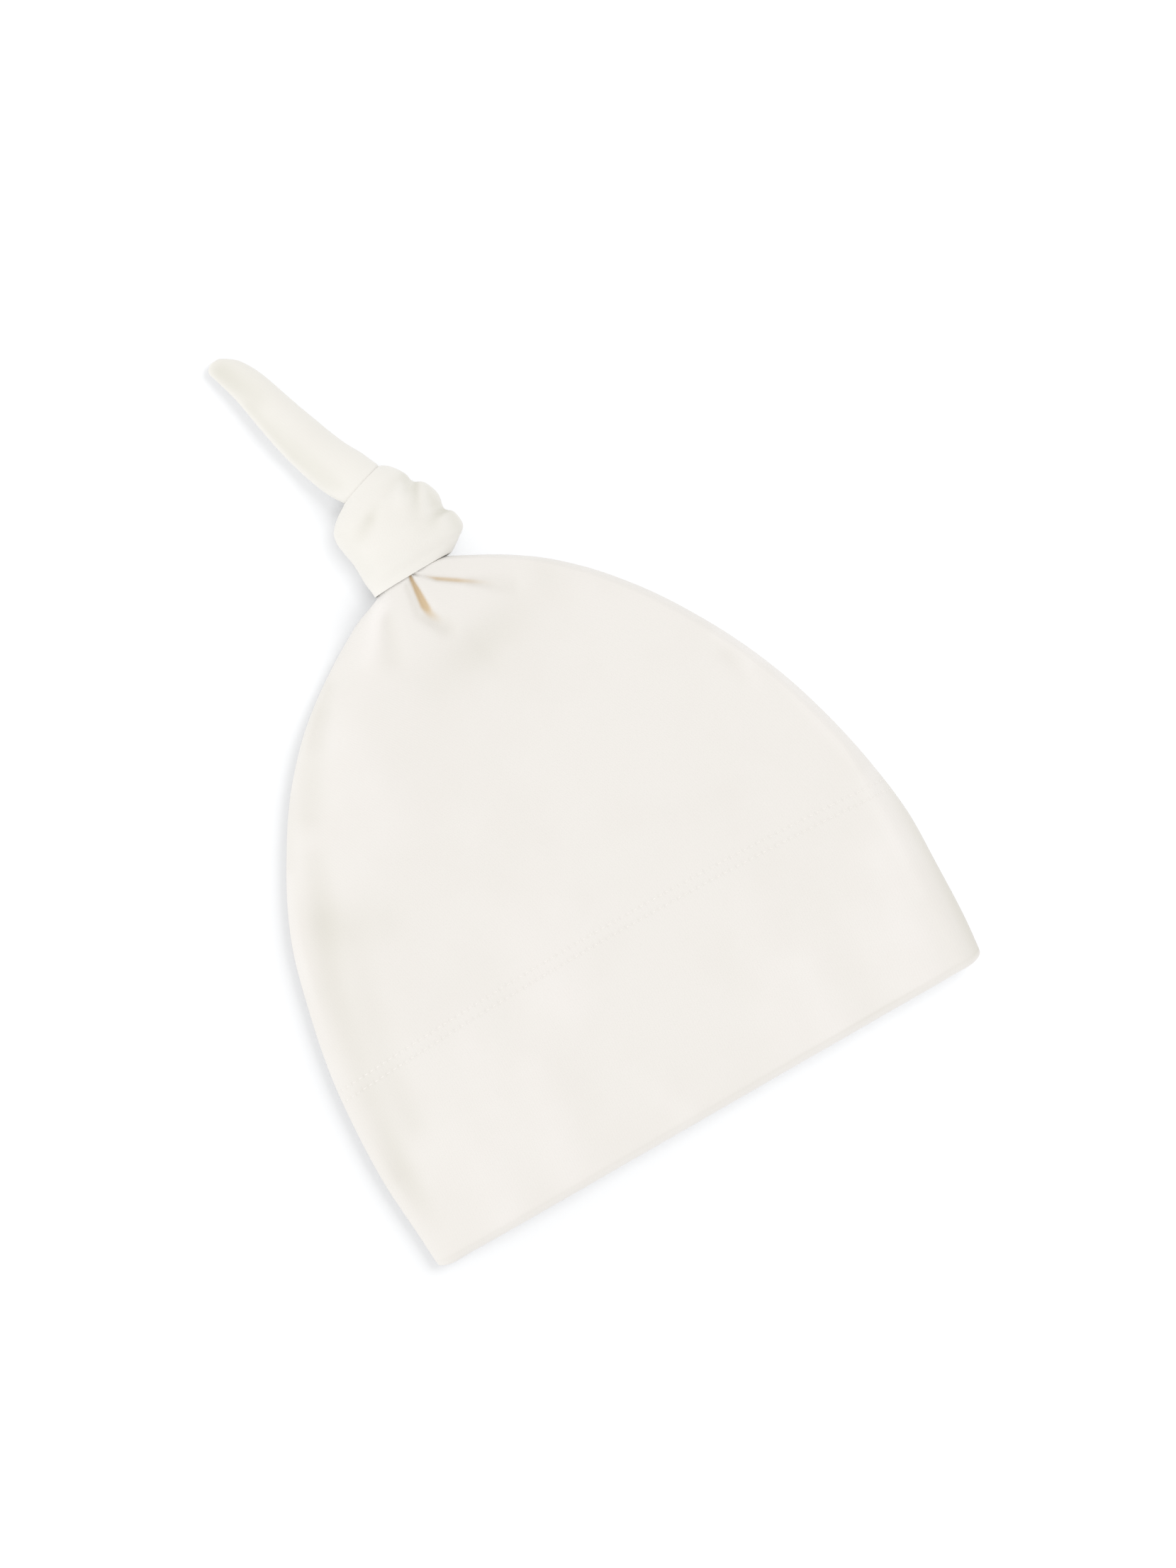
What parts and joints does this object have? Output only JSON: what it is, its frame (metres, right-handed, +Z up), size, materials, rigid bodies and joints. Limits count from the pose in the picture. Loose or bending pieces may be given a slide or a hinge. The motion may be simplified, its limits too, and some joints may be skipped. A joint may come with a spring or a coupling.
{
  "type": "baby's top-knot nightcap",
  "caption": "Soft jersey cap lying flat: an open, hollow dome with a deep turned-in hem, gathered into a knot with a short free tail.",
  "frame": {"origin": "on the surface the cap lies on, under the middle of its bounding box", "axes": "+X along the mouth to the wearer's side that the picture shows on the right, +Y from the mouth to the knot and tail, +Z up from the surface"},
  "size_m": [0.1809, 0.2542, 0.0228],
  "materials": {
    "jersey": "matt fine cotton jersey, cream",
    "hem_jersey": "matt fine cotton jersey, cream, cover stitched",
    "knot_jersey": "matt fine cotton jersey, cream, tightly folded",
    "tail_jersey": "matt fine cotton jersey, cream, folded to a tube"
  },
  "bodies": {
    "root": {"crown": "jersey", "hem": "hem_jersey", "knot": "knot_jersey", "tail": "tail_jersey"}
  },
  "joints": []
}
